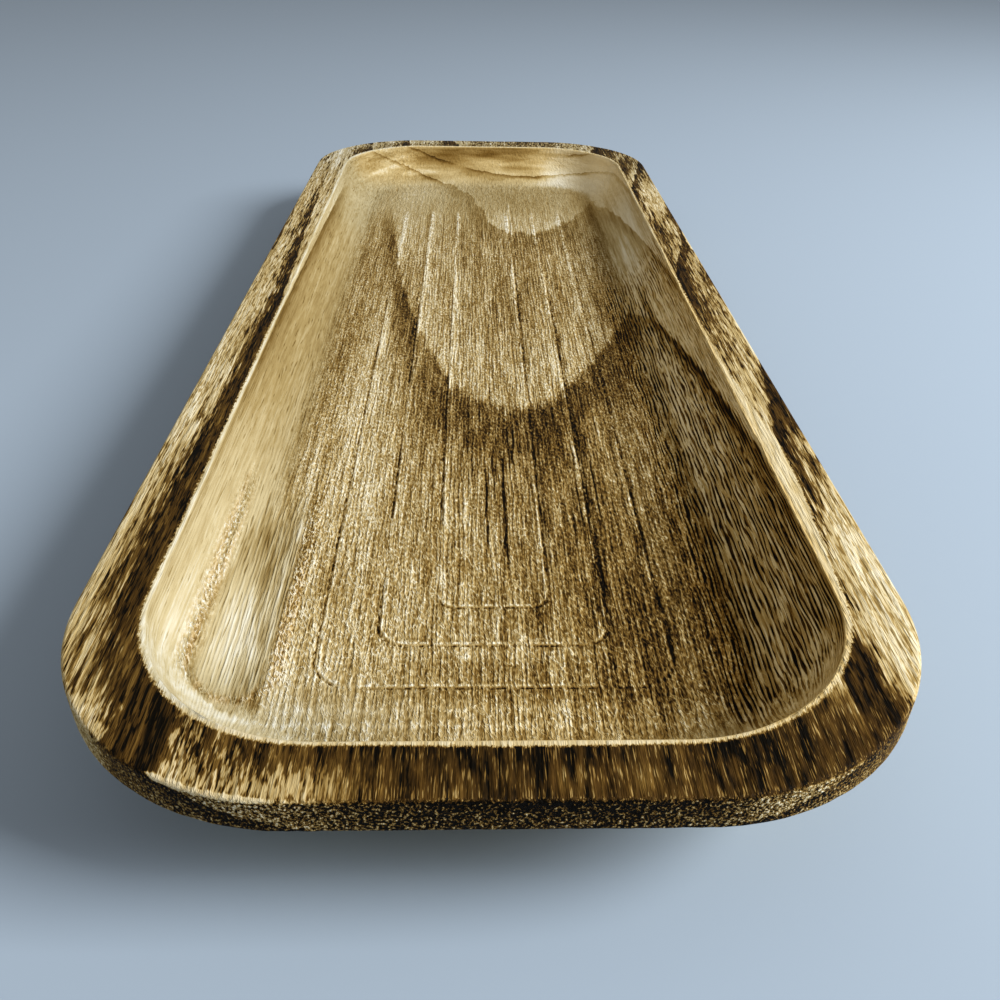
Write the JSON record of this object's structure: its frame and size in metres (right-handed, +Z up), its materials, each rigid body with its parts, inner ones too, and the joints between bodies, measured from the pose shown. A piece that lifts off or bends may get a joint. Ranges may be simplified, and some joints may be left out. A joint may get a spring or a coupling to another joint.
{
  "type": "dough bowl",
  "caption": "Long shallow bowl carved from one wooden block, with a flat rim, rounded corners, a coved hollow and an undercut underside.",
  "frame": {"origin": "centre of the resting face, under the middle of the block", "axes": "+X across the bowl, +Y along the grain towards the back end, +Z up out of the hollow"},
  "size_m": [0.1906, 0.508, 0.038],
  "materials": {
    "torched_wood": "matte, brushed and burnt, with open grain"
  },
  "bodies": {
    "root": {"bowl_body": "torched_wood"}
  },
  "joints": []
}
